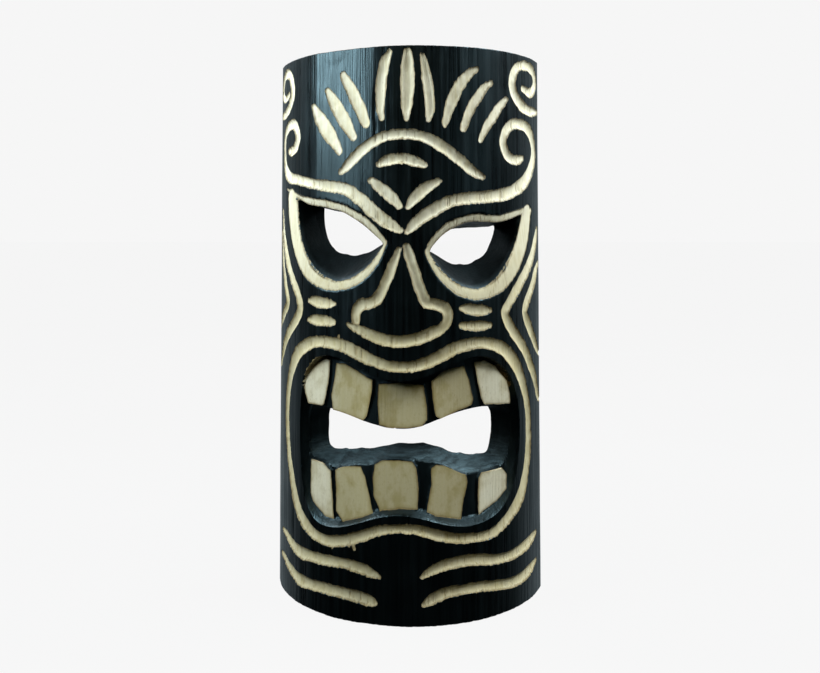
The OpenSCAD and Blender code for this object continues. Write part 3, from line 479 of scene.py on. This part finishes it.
def snap_to_edges(A, Z):
    shape = A.shape
    on = np.zeros(shape, bool)
    for turn in range(2):
        fields = np.stack([f.reshape(shape) for f in edge_fields(A.ravel(), Z.ravel())])
        pick = np.abs(fields).argmin(0)
        f = np.take_along_axis(fields, pick[None], 0)[0]
        ga, gz = np.zeros(shape), np.zeros(shape)
        for k in range(len(fields)):
            m = (pick == k) & (np.abs(f) < CELL)
            if not m.any():
                continue
            F = np.clip(fields[k], -5, 5)
            da = np.gradient(F, axis=1) / np.maximum(np.gradient(A, axis=1), 0.2 * CELL)
            dz = np.gradient(F, axis=0) / np.maximum(np.gradient(Z, axis=0), 0.2 * CELL)
            ga[m], gz[m] = da[m], dz[m]
        g = np.hypot(ga, gz)
        ok = (np.abs(f) < 0.48 * CELL) & (g > 0.55) & (g < 1.6)
        ok[:3] = ok[-3:] = False
        ok[:, :2] = ok[:, -2:] = False
        if turn:
            ok &= on
        move = np.clip(f, -0.48 * CELL, 0.48 * CELL) / np.maximum(g, 0.5)
        A = np.where(ok, A - move * ga / np.maximum(g, 0.5), A)
        Z = np.where(ok, Z - move * gz / np.maximum(g, 0.5), Z)
        on |= ok
    return A, Z, on


def build_block():
    """The half log with its carved face, closed by flat ends and a flat back."""
    nu = int(2 * 105 / CELL) | 1
    nv = int(BODY_H / CELL) | 1
    v = np.linspace(0, 1, nv)
    v = np.concatenate([[0.0], [0.35 / BODY_H], v[1:-1], [1 - 0.35 / BODY_H], [1.0]])
    nv = len(v)
    u = np.linspace(-1, 1, nu)
    U, V = np.meshgrid(u, v)
    Z = V * BODY_H
    for _ in range(2):
        a_end = ARC_R * np.arccos((AXIS_Y - BACK_Y) / r_at(Z))
        A = U * a_end
        Z = V * (BODY_H + r_at(Z) * np.sin(A / ARC_R) * SLOPE)
    A, Z, on = snap_to_edges(A, Z)
    R = face(A.ravel(), Z.ravel()).reshape(A.shape)
    # worn arris at both saw cuts
    worn = 0.30 + 0.25 * noise(A / 3.1, Z * 0 + 2.0, 51) + 0.2 * noise(A / 0.9, Z * 0 + 5.0, 52)
    R[0] -= np.clip(worn[0], 0.05, None); R[-1] -= np.clip(worn[-1] * 1.2, 0.05, None)
    x = R * np.sin(A / ARC_R)
    y = AXIS_Y - R * np.cos(A / ARC_R)
    # both side edges end exactly on the sawn back
    y[:, 0] = BACK_Y; y[:, -1] = BACK_Y
    y = np.minimum(y, BACK_Y)
    verts = np.stack([x, y, Z], -1).reshape(-1, 3) / 1000.0
    faces = []
    lip = on.ravel()
    for q in grid_faces(nu, nv):                     # split along an edge that crosses a square
        a, b, c, d = q
        if lip[b] and lip[d]:
            faces += [[a, b, d], [b, c, d]]
        elif lip[a] and lip[c]:
            faces += [[a, b, c], [a, c, d]]
        else:
            faces.append(q)
    faces.append([i for i in range(nu - 1, -1, -1)])                            # bottom end
    top0 = (nv - 1) * nu
    faces.append([top0 + i for i in range(nu)])                                # top end
    for j in range(nv - 1):                                                     # sawn back
        a, b = j * nu, (j + 1) * nu
        faces.append([a, b, b + nu - 1, a + nu - 1])
    return object_from("mask_carving", verts, faces)


def build_hollow():
    """What the adze took out of the back: a trough with scalloped walls and sloped ends."""
    step = 2.6
    z0, z1, run = 25.0, 282.0, 20.0
    nv = int((z1 - z0) / step)
    nt = int(2 * 78 / 360 * 2 * math.pi * 60 / step)
    th = np.radians(np.linspace(-77, 77, nt))
    z = np.linspace(z0, z1, nv)
    T, Zg = np.meshgrid(th, z)
    R = r_at(Zg) - WALL
    e = np.clip(np.minimum(Zg - z0, z1 - Zg) / run, 0, 1)
    R = R - 15 * (1 - np.sin(e * np.pi / 2)) ** 1.2
    # scallops left by the tool: each is a shallow dish, they run along the log
    s, q = T * 60 / 11.0, Zg / 27.0
    cell = np.floor(s)
    q = q + 0.5 * (np.abs(cell) % 2) + 0.35 * noise(cell * 1.7, np.floor(q) * 0.9, 61)
    dish = (1 - (2 * (s - np.floor(s)) - 1) ** 2) * 0.75 + (1 - (2 * (q - np.floor(q)) - 1) ** 2) * 0.35
    R = R - 0.75 + dish + 0.12 * noise(T * 60 / 3.0, Zg / 9.0, 63)
    R = np.minimum(R, r_at(Zg) - WALL + 0.6)
    x = R * np.sin(T)
    y = AXIS_Y - R * np.cos(T)
    verts = np.stack([x, y, Zg], -1).reshape(-1, 3)
    n = nv * nt
    faces = grid_faces(nt, nv, 0)
    # close it behind the sawn back
    back = []
    for j in range(nv):
        for i in (0, nt - 1):
            p = verts[j * nt + i].copy()
            p[1] = BACK_Y + 30
            back.append(p)
    verts = np.vstack([verts, back])
    for j in range(nv - 1):
        l0, l1, r0, r1 = n + 2 * j, n + 2 * j + 2, n + 2 * j + 1, n + 2 * j + 3
        faces.append([j * nt, (j + 1) * nt, l1, l0])
        faces.append([j * nt + nt - 1, r0, r1, (j + 1) * nt + nt - 1])
        faces.append([l0, l1, r1, r0])
    faces.append([n] + [n + 1] + [i for i in range(nt - 1, -1, -1)])
    last = (nv - 1) * nt
    faces.append([last + i for i in range(nt)] + [n + 2 * (nv - 1) + 1, n + 2 * (nv - 1)])
    return object_from("hollow_cutter", verts / 1000.0, faces)


def apply_boolean(ob, cutter, solver="MANIFOLD"):
    m = ob.modifiers.new("cut", "BOOLEAN")
    m.operation = "DIFFERENCE"
    m.object = cutter
    m.solver = solver
    deps = bpy.context.evaluated_depsgraph_get()
    me = bpy.data.meshes.new_from_object(ob.evaluated_get(deps))
    ob.modifiers.clear()
    old = ob.data
    ob.data = me
    bpy.data.meshes.remove(old)
    return ob


mask = build_block()
cutter = build_hollow()
for o in (mask, cutter):
    bm = bmesh.new(); bm.from_mesh(o.data)
    bmesh.ops.recalc_face_normals(bm, faces=bm.faces)
    bm.to_mesh(o.data); bm.free()
apply_boolean(mask, cutter)
bpy.data.objects.remove(cutter)
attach(mask, "mask")
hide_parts("carved_mask")

# ---- fields that the paint follows, on every corner of the finished mesh -------
def add_fields(ob):
    me = ob.data
    n = len(me.vertices)
    co = np.zeros(n * 3, np.float32)
    me.vertices.foreach_get("co", co)
    co = co.reshape(-1, 3).astype(float) * 1000
    A = ARC_R * np.arctan2(co[:, 0], AXIS_Y - co[:, 1])
    Z = co[:, 2]
    depth, wood, along, level, tooth, line = carve(A, Z)
    burnt = np.full(n, 9.0)
    for p in BURNT:
        burnt = np.minimum(burnt, polygon_sd(A, Z, p, 6.0, 1.0, True))
    for name, val in (("burnt", burnt), ("wood_edge", np.clip(wood, -9, 9)), ("along", along), ("level", level), ("tooth", tooth),
                      ("arc", A), ("sunk", np.clip(depth, 0, 24))):
        at = me.attributes.new(name, "FLOAT", "POINT")
        at.data.foreach_set("value", np.asarray(val, np.float32))
    # zone of each face: 0 face, 1 hollow, 2 sawn back, 3 top end, 4 bottom end
    m = len(me.polygons)
    cen = np.zeros(m * 3, np.float32); nor = np.zeros(m * 3, np.float32)
    me.polygons.foreach_get("center", cen); me.polygons.foreach_get("normal", nor)
    cen = cen.reshape(-1, 3) * 1000; nor = nor.reshape(-1, 3)
    rad = np.stack([cen[:, 0], cen[:, 1] - AXIS_Y], -1)
    rl = np.maximum(np.linalg.norm(rad, axis=1), 1e-6)
    out = (rad * nor[:, :2]).sum(1) / rl
    zone = np.zeros(m)
    zone[(out < -0.35) & (rl < r_at(cen[:, 2]) - WALL + 1.2)] = 1
    ends = (cen[:, 2] > 24) & (cen[:, 2] < 283) & (rl < r_at(cen[:, 2]) - WALL - 1.0) & (np.abs(nor[:, 2]) > 0.2) & ((cen[:, 2] < 50) | (cen[:, 2] > 258))
    zone[ends] = 1
    zone[(nor[:, 1] > 0.999) & (np.abs(cen[:, 1] - BACK_Y) < 0.05)] = 2
    zone[(nor[:, 2] > 0.99) & (cen[:, 2] > 303)] = 3
    zone[(nor[:, 2] < -0.99) & (cen[:, 2] < 0.5)] = 4
    at = me.attributes.new("zone", "FLOAT", "FACE")
    at.data.foreach_set("value", zone.astype(np.float32))
    # a map of the surface: the face unrolled flat, the hollow unrolled beside it, the flat cuts below that
    uv = me.uv_layers.new(name="OFBake")
    loops = len(me.loops)
    vi = np.zeros(loops, np.int32); me.loops.foreach_get("vertex_index", vi)
    tot = np.zeros(m, np.int32); me.polygons.foreach_get("loop_total", tot)
    zl = np.repeat(zone, tot)
    a, z, x, y = A[vi], Z[vi], co[vi, 0], co[vi, 1]
    hol = np.arctan2(x, AXIS_Y - y)
    U = np.select([zl == 0, zl == 1, zl == 2, zl >= 3],
                  [0.005 + 0.64 * (a + 107) / 214, 0.66 + 0.335 * (hol + 1.34) / 2.68,
                   0.66 + 0.16 * (x + 80) / 160, 0.835 + 0.16 * (x + 80) / 160])
    V = np.select([zl == 0, zl == 1, zl == 2, zl == 3, zl == 4],
                  [0.005 + 0.99 * z / 306.5, 0.265 + 0.73 * (z - 20) / 267, 0.005 + 0.245 * z / 306.5,
                   0.135 + 0.11 * (y + 36) / 67, 0.01 + 0.11 * (y + 36) / 67])
    uv.data.foreach_set("uv", np.stack([np.clip(U, 0.001, 0.999), np.clip(V, 0.001, 0.999)], -1).astype(np.float32).ravel())
    me.polygons.foreach_set("use_smooth", np.ones(m, bool))
    me.set_sharp_from_angle(angle=math.radians(27))
    me.update()


add_fields(mask)


# ---- materials ----------------------------------------------------------------
class Nodes:
    """A short way to write a node tree."""

    def __init__(self, name):
        self.mat = bpy.data.materials.new(name)
        self.mat.use_nodes = True
        self.t = self.mat.node_tree
        self.t.nodes.clear()
        self.out = self.t.nodes.new("ShaderNodeOutputMaterial")
        self.coord = self.t.nodes.new("ShaderNodeTexCoord").outputs["Object"]

    def put(self, socket, v):
        if isinstance(v, bpy.types.NodeSocket):
            self.t.links.new(v, socket)
        elif v is not None:
            socket.default_value = v

    def math(self, op, a, b=None, c=None, clamp=False):
        n = self.t.nodes.new("ShaderNodeMath")
        n.operation = op
        n.use_clamp = clamp
        for s, v in zip(n.inputs, (a, b, c)):
            self.put(s, v)
        return n.outputs[0]

    def attr(self, name):
        n = self.t.nodes.new("ShaderNodeAttribute")
        n.attribute_name = name
        return n.outputs["Fac"]

    def scaled(self, sx, sy, sz, vec=None, loc=(0, 0, 0)):
        n = self.t.nodes.new("ShaderNodeMapping")
        self.put(n.inputs["Vector"], vec or self.coord)
        n.inputs["Scale"].default_value = (sx, sy, sz)
        n.inputs["Location"].default_value = loc
        return n.outputs[0]

    def noise(self, vec, scale=1.0, detail=2.0, rough=0.5, distortion=0.0):
        n = self.t.nodes.new("ShaderNodeTexNoise")
        self.put(n.inputs["Vector"], vec)
        n.inputs["Scale"].default_value = scale
        n.inputs["Detail"].default_value = detail
        n.inputs["Roughness"].default_value = rough
        n.inputs["Distortion"].default_value = distortion
        return n.outputs["Fac"]

    def voronoi(self, vec, scale=1.0, feature="F1"):
        n = self.t.nodes.new("ShaderNodeTexVoronoi")
        n.feature = feature
        self.put(n.inputs["Vector"], vec)
        n.inputs["Scale"].default_value = scale
        return n.outputs["Distance"]

    def ramp(self, v, lo, hi, to_lo=0.0, to_hi=1.0):
        n = self.t.nodes.new("ShaderNodeMapRange")
        n.interpolation_type = "SMOOTHSTEP"
        self.put(n.inputs["Value"], v)
        for k, x in (("From Min", lo), ("From Max", hi), ("To Min", to_lo), ("To Max", to_hi)):
            self.put(n.inputs[k], x)
        return n.outputs[0]

    def mix(self, f, a, b):
        n = self.t.nodes.new("ShaderNodeMix")
        n.data_type = "RGBA"
        self.put(n.inputs[0], f)
        for s, v in ((n.inputs[6], a), (n.inputs[7], b)):
            self.put(s, (*v, 1) if isinstance(v, tuple) and len(v) == 3 else v)
        return n.outputs[2]

    def fmix(self, f, a, b):
        n = self.t.nodes.new("ShaderNodeMix")
        n.data_type = "FLOAT"
        self.put(n.inputs[0], f); self.put(n.inputs[2], a); self.put(n.inputs[3], b)
        return n.outputs[0]

    def bump(self, h, dist, strength=1.0, normal=None):
        n = self.t.nodes.new("ShaderNodeBump")
        n.inputs["Strength"].default_value = strength
        n.inputs["Distance"].default_value = dist
        self.put(n.inputs["Height"], h)
        if normal is not None:
            self.put(n.inputs["Normal"], normal)
        return n.outputs[0]

    def shader(self, **kw):
        n = self.t.nodes.new("ShaderNodeBsdfPrincipled")
        for k, v in kw.items():
            v = (*v, 1) if isinstance(v, tuple) and len(v) == 3 else v
            self.put(n.inputs[k.replace("_", " ")], v)
        return n.outputs[0]

    def done(self, shader):
        self.t.links.new(shader, self.out.inputs["Surface"])
        return self.mat


def carved_wood():
    k = Nodes("painted_wood")
    edge, level, tooth, zone, sunk = k.attr("wood_edge"), k.attr("level"), k.attr("tooth"), k.attr("zone"), k.attr("sunk")
    fine = k.noise(k.scaled(1500, 1500, 45), 1.0, 3.0, 0.6)                 # fibres, under a millimetre wide
    fibre = k.noise(k.scaled(700, 700, 14), 1.0, 2.0, 0.55)
    broad = k.noise(k.scaled(150, 150, 5), 1.0, 2.0, 0.5)
    blot = k.noise(k.coord, 55.0, 3.0, 0.55)
    speck = k.voronoi(k.scaled(520, 520, 190), 1.0)
    # edge of the bare wood, torn a little along the grain
    torn = k.math("MULTIPLY", k.math("SUBTRACT", k.noise(k.scaled(900, 900, 260), 1.0, 3.0, 0.6), 0.5), 1.1)
    comb = k.math("MULTIPLY", k.math("MULTIPLY", k.math("SUBTRACT", k.noise(k.scaled(820, 820, 25), 1.0, 2.0, 0.6), 0.5), 1.7), level)
    apart = k.t.nodes.new("ShaderNodeSeparateXYZ")
    k.put(apart.inputs[0], k.coord)
    height_z = apart.outputs["Z"]
    calm = k.fmix(tooth, 1.0, 0.3)
    w = k.math("ADD", edge, k.math("MULTIPLY", k.math("ADD", torn, comb), calm))
    front = k.ramp(zone, 0.4, 0.6, 1.0, 0.0)
    bare = k.math("MULTIPLY", k.ramp(w, -0.12, 0.12, 1.0, 0.0), front)
    scorch = k.ramp(k.math("ADD", w, k.math("MULTIPLY", k.math("SUBTRACT", blot, 0.5), 1.2)), -1.15, -0.10, 0.0, 1.0)
    # bare wood
    tone = k.mix(k.math("MULTIPLY", k.ramp(fibre, 0.3, 0.75), k.fmix(tooth, 0.9, 0.6)), (0.87, 0.82, 0.64), (0.77, 0.695, 0.46))
    tone = k.mix(k.ramp(blot, 0.35, 0.75, 0.0, 0.55), tone, (0.89, 0.855, 0.70))
    # the faces of the teeth are stained in brown clouds, and painted shade darkens them towards their edges
    cloud = k.noise(k.scaled(1, 1, 0.6, loc=(0.21, 0.13, 0.37)), 120.0, 4.0, 0.62)
    # painted light: teeth towards the sides of the mouth get a lighter tone and less stain, the middle teeth a darker
    # tone
    side_teeth_painted_light = k.ramp(k.math("ABSOLUTE", k.math("SUBTRACT", k.attr("arc"), 2.0)), 36.0, 48.0)
    stain_and_edge_shade = k.math("ADD", k.ramp(cloud, 0.44, 0.66, 0.0, 0.60), k.math("ADD", k.ramp(w, -3.0, -0.2, 0.0, 0.45), k.ramp(k.noise(k.coord, 700.0, 2.0, 0.6), 0.50, 0.72, 0.0, 0.22)))
    stain_and_edge_shade = k.math("MULTIPLY", k.math("MULTIPLY", tooth, stain_and_edge_shade, clamp=True), k.fmix(side_teeth_painted_light, 1.0, 0.55))
    # painted light and shade: a lighter tone on the side teeth, a darker one on the middle teeth
    tone = k.mix(k.math("MULTIPLY", tooth, 0.45), tone, k.mix(side_teeth_painted_light, (0.62, 0.555, 0.325), (0.86, 0.82, 0.66)))
    tone = k.mix(stain_and_edge_shade, tone, (0.36, 0.275, 0.115))
    # painted shade: the bare wood is darker and browner towards the bottom, with random clouds, less so on the side
    # teeth
    low_shade_and_clouds = k.math("ADD", k.ramp(height_z, 0.235, 0.150, 0.0, 0.60), k.ramp(cloud, 0.45, 0.7, 0.0, 0.16))
    tone = k.mix(k.math("MULTIPLY", low_shade_and_clouds, k.fmix(k.math("MULTIPLY", side_teeth_painted_light, tooth), 1.0, 0.25)), tone, (0.43, 0.355, 0.155))
    tone = k.mix(k.math("MULTIPLY", k.ramp(fine, 0.55, 0.8), k.fmix(tooth, 0.38, 0.22)), tone, (0.40, 0.30, 0.16))
    tear = k.noise(k.scaled(620, 620, 22, loc=(3.1, 1.7, 0.4)), 1.0, 2.0, 0.6)
    torn_line = k.math("MULTIPLY", k.math("MULTIPLY", k.ramp(tear, 0.56, 0.70), k.ramp(level, 0.55, 0.95)), k.fmix(tooth, 0.55, 0.0))
    tone = k.mix(torn_line, tone, (0.36, 0.26, 0.12))
    tone = k.mix(k.math("MULTIPLY", k.ramp(speck, 0.16, 0.06), 0.30), tone, (0.30, 0.20, 0.09))
    broken = k.ramp(k.math("ADD", k.attr("burnt"), k.math("MULTIPLY", torn, 1.2)), -0.35, 0.35, 1.0, 0.0)
    tone = k.mix(k.math("MULTIPLY", broken, 0.8), tone, k.mix(k.ramp(fine, 0.35, 0.7), (0.13, 0.085, 0.028), (0.36, 0.28, 0.13)))
    tone = k.mix(k.math("MULTIPLY", scorch, 0.72), tone, (0.20, 0.13, 0.045))
    # paint: thin, brushed along the log, so the grain shows through as streaks
    streak = k.noise(k.scaled(330, 330, 7, loc=(7.3, 2.2, 0)), 1.0, 3.0, 0.6)
    black = k.mix(k.ramp(streak, 0.35, 0.7), (0.0005, 0.0007, 0.0007), (0.0013, 0.0021, 0.0022))
    grime = k.mix(k.ramp(fibre, 0.35, 0.7), (0.020, 0.015, 0.010), (0.085, 0.062, 0.040))
    grime = k.mix(k.ramp(blot, 0.4, 0.7, 0.0, 0.6), grime, (0.012, 0.010, 0.009))
    inside = k.math("MULTIPLY", k.ramp(zone, 0.4, 0.6, 0.0, 0.9), k.ramp(zone, 2.4, 2.6, 1.0, 0.25))
    black = k.mix(inside, black, grime)
    rough_p = k.math("ADD", k.ramp(streak, 0.3, 0.75, 0.24, 0.40), k.math("MULTIPLY", k.ramp(blot, 0.35, 0.7), 0.06))
    rough_p = k.math("ADD", rough_p, k.math("MAXIMUM", k.ramp(zone, 0.5, 1.0, 0.0, 0.22), k.math("ADD", k.ramp(sunk, 1.0, 2.2, 0.0, 0.14), k.ramp(sunk, 6.0, 9.0, 0.0, 0.08))))
    colour = k.mix(bare, black, tone)
    rough = k.fmix(bare, rough_p, k.ramp(fibre, 0.3, 0.7, 0.60, 0.74))
    # relief: paint film at the edge, fibres, brush marks
    brush = k.noise(k.scaled(1050, 1050, 16, loc=(1.3, 5.2, 0)), 1.0, 2.0, 0.6)
    height = k.fmix(bare, k.math("ADD", k.math("MULTIPLY", streak, 1.3), k.math("ADD", k.math("MULTIPLY", brush, 0.85), k.math("MULTIPLY", fine, 0.3))),
                    k.math("ADD", k.math("MULTIPLY", fine, 0.8), k.math("ADD", k.math("MULTIPLY", fibre, 0.9), k.math("MULTIPLY", torn_line, -2.2))))
    film = k.ramp(w, -0.25, 0.05, 0.0, 0.9)
    normal = k.bump(k.math("ADD", height, film), 0.00022, 0.85)
    sh = k.shader(Base_Color=colour, Roughness=rough, IOR=1.5, Normal=normal)
    jaw = k.math("MULTIPLY", k.ramp(sunk, 5.5, 7.5), k.ramp(height_z, 0.097, 0.091))
    jaw = k.math("MULTIPLY", k.math("MULTIPLY", jaw, front), k.ramp(k.noise(k.scaled(120, 120, 900), 1.0, 3.0, 0.6), 0.3, 0.7, 0.1, 1.1))
    k.put(sh.node.inputs["Specular IOR Level"], k.fmix(bare, k.fmix(k.math("MULTIPLY", k.ramp(sunk, 2.2, 5.0), k.ramp(height_z, 0.150, 0.156)), k.math("ADD", 0.48, jaw), 0.14), 0.25))
    sh.node.inputs["Specular Tint"].default_value = (0.56, 0.88, 1.0, 1)
    return k.done(sh)


def steel(name, base, tint, rough):
    k = Nodes(name)
    rub = k.noise(k.scaled(2600, 2600, 300), 1.0, 3.0, 0.6)
    cloud = k.noise(k.coord, 380.0, 3.0, 0.55)
    grain = k.voronoi(k.coord, 900.0)
    col = k.mix(k.ramp(cloud, 0.3, 0.75), base, tint)
    col = k.mix(k.math("MULTIPLY", k.ramp(grain, 0.2, 0.7), 0.18), col, (0.36, 0.36, 0.35))
    r = k.math("ADD", k.ramp(rub, 0.3, 0.7, rough - 0.06, rough + 0.12), k.math("MULTIPLY", cloud, 0.06))
    sh = k.shader(Base_Color=col, Roughness=r, Metallic=1.0, Normal=k.bump(k.math("ADD", rub, k.math("MULTIPLY", grain, 0.4)), 0.00002, 0.6))
    return k.done(sh)


wood_mat = carved_wood()
mask.data.materials.clear()
mask.data.materials.append(wood_mat)

strap_mat = steel("strap_steel", (0.60, 0.60, 0.58), (0.50, 0.51, 0.52), 0.36)
ring_mat = steel("ring_steel", (0.66, 0.66, 0.64), (0.56, 0.57, 0.57), 0.28)
screw_mat = steel("screw_steel", (0.74, 0.64, 0.38), (0.66, 0.60, 0.42), 0.30)
for node, m in (("left_hanger_strap", strap_mat), ("right_hanger_strap", strap_mat), ("left_hanger_ring", ring_mat),
                ("right_hanger_ring", ring_mat), ("hanger_screws", screw_mat)):
    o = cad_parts[node]
    o.data.materials.clear()
    o.data.materials.append(m)
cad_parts["carved_mask"].data.materials.clear()
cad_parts["carved_mask"].data.materials.append(wood_mat)

# ---- camera --------------------------------------------------------------------
TURN = math.radians(5.0)         # the face is turned a little to the viewer's left
DIST, EYE_H, FOCAL_PX, PITCH, YAW = 0.5458, 0.2094, 901.8, 0.0748, -0.0011
spin = Matrix.Rotation(TURN, 3, "Z")
s, c, sp, cp = math.sin(YAW), math.cos(YAW), math.sin(PITCH), math.cos(PITCH)
right, fwd, up = Vector((c, -s, 0)), Vector((s * cp, c * cp, -sp)), Vector((s * sp, c * sp, cp))
right, fwd, up = spin @ right, spin @ fwd, spin @ up
cam_data = bpy.data.cameras.new("camera")
cam = bpy.data.objects.new("camera", cam_data)
bpy.context.scene.collection.objects.link(cam)
cam.matrix_world = Matrix.Translation(spin @ Vector((0, -DIST, EYE_H)) + Vector((0, AXIS_Y / 1000, 0))) @ \
    Matrix((right, up, -fwd)).transposed().to_4x4()
cam_data.sensor_width = 36.0
cam_data.lens = FOCAL_PX / 820 * 36.0
cam_data.shift_y = (300.0 - 336.5) / 820
cam_data.clip_start, cam_data.clip_end = 0.02, 20
bpy.context.scene.camera = cam


# ---- light ---------------------------------------------------------------------
def softbox(name, angle, dist, height, w, h, power, tilt=0.0, colour=(1, 1, 1), aim=0.15):
    """A soft panel at an angle from the front of the face, towards +X."""
    d = bpy.data.lights.new(name, "AREA")
    d.shape = "RECTANGLE"
    d.size, d.size_y, d.energy, d.color = w, h, power, colour
    o = bpy.data.objects.new(name, d)
    bpy.context.scene.collection.objects.link(o)
    t = math.radians(angle)
    o.location = (dist * math.sin(t), AXIS_Y / 1000 - dist * math.cos(t), height)
    look = Vector((0, AXIS_Y / 1000 - 0.05, aim)) - o.location
    o.rotation_euler = look.to_track_quat("-Z", "Y").to_euler()
    return o


softbox("key_left", -54, 0.42, 0.47, 0.18, 0.38, 3.1, colour=(0.86, 0.96, 1.0), aim=0.26)
softbox("left_edge", -106, 0.9, 0.90, 0.40, 0.50, 6.0, colour=(0.90, 0.96, 1.0), aim=0.18)
softbox("right_edge", 112, 0.9, 0.90, 0.40, 0.40, 7.0, colour=(0.92, 0.98, 1.0), aim=0.14)
softbox("right", 76, 0.70, 0.88, 0.28, 0.34, 9.0, colour=(0.88, 0.96, 1.0), aim=0.12)
softbox("sheen_right", 60, 1.1, 0.45, 0.60, 0.70, 0.35, colour=(0.75, 0.97, 1.0), aim=0.20)
softbox("high_right", 60, 0.72, 0.96, 0.36, 0.36, 2.3, colour=(0.98, 0.98, 0.95), aim=0.10)
softbox("front", 5, 1.0, 0.90, 0.25, 0.25, 1.0, colour=(1.0, 0.90, 0.55), aim=0.06)

# the studio: a pale room, bright behind the object and dim in front of it
world = bpy.data.worlds.new("studio")
bpy.context.scene.world = world
world.use_nodes = True
wt = world.node_tree
wt.nodes.clear()
wo = wt.nodes.new("ShaderNodeOutputWorld")
seen, lit = wt.nodes.new("ShaderNodeBackground"), wt.nodes.new("ShaderNodeBackground")
seen.inputs[0].default_value = (0.922, 0.922, 0.922, 1)
wc, ws, wr = wt.nodes.new("ShaderNodeTexCoord"), wt.nodes.new("ShaderNodeSeparateXYZ"), wt.nodes.new("ShaderNodeMapRange")
wr.interpolation_type = "SMOOTHSTEP"
for k, v in (("From Min", 0.05), ("From Max", 0.75), ("To Min", 0.01), ("To Max", 0.42)):
    wr.inputs[k].default_value = v
wt.links.new(wc.outputs["Generated"], ws.inputs[0])
wt.links.new(ws.outputs["Y"], wr.inputs["Value"])
wt.links.new(wr.outputs[0], lit.inputs[1])
lit.inputs[0].default_value = (0.80, 0.94, 1.0, 1)
path, mx = wt.nodes.new("ShaderNodeLightPath"), wt.nodes.new("ShaderNodeMixShader")
wt.links.new(path.outputs["Is Camera Ray"], mx.inputs[0])
wt.links.new(lit.outputs[0], mx.inputs[1])
wt.links.new(seen.outputs[0], mx.inputs[2])
wt.links.new(mx.outputs[0], wo.inputs[0])

# ---- floor ---------------------------------------------------------------------
floor = object_from("floor", [(-60, -60, 0), (60, -60, 0), (60, 60, 0), (-60, 60, 0)], [(0, 1, 2, 3)])
floor.location.z = -0.0002
fl = Nodes("floor_pale")
pale = fl.mix(fl.ramp(fl.noise(fl.coord, 3.0, 2.0, 0.5), 0.3, 0.7), (0.009, 0.009, 0.009), (0.012, 0.012, 0.012))
floor.data.materials.append(fl.done(fl.shader(Base_Color=pale, Roughness=1.0, Specular_IOR_Level=0.0,
                                              Emission_Color=(1.0, 1.0, 1.0), Emission_Strength=0.911)))
floor.visible_glossy = floor.visible_diffuse = False

bpy.context.scene.view_settings.view_transform = "Standard"
bpy.context.scene.view_settings.look = "None"
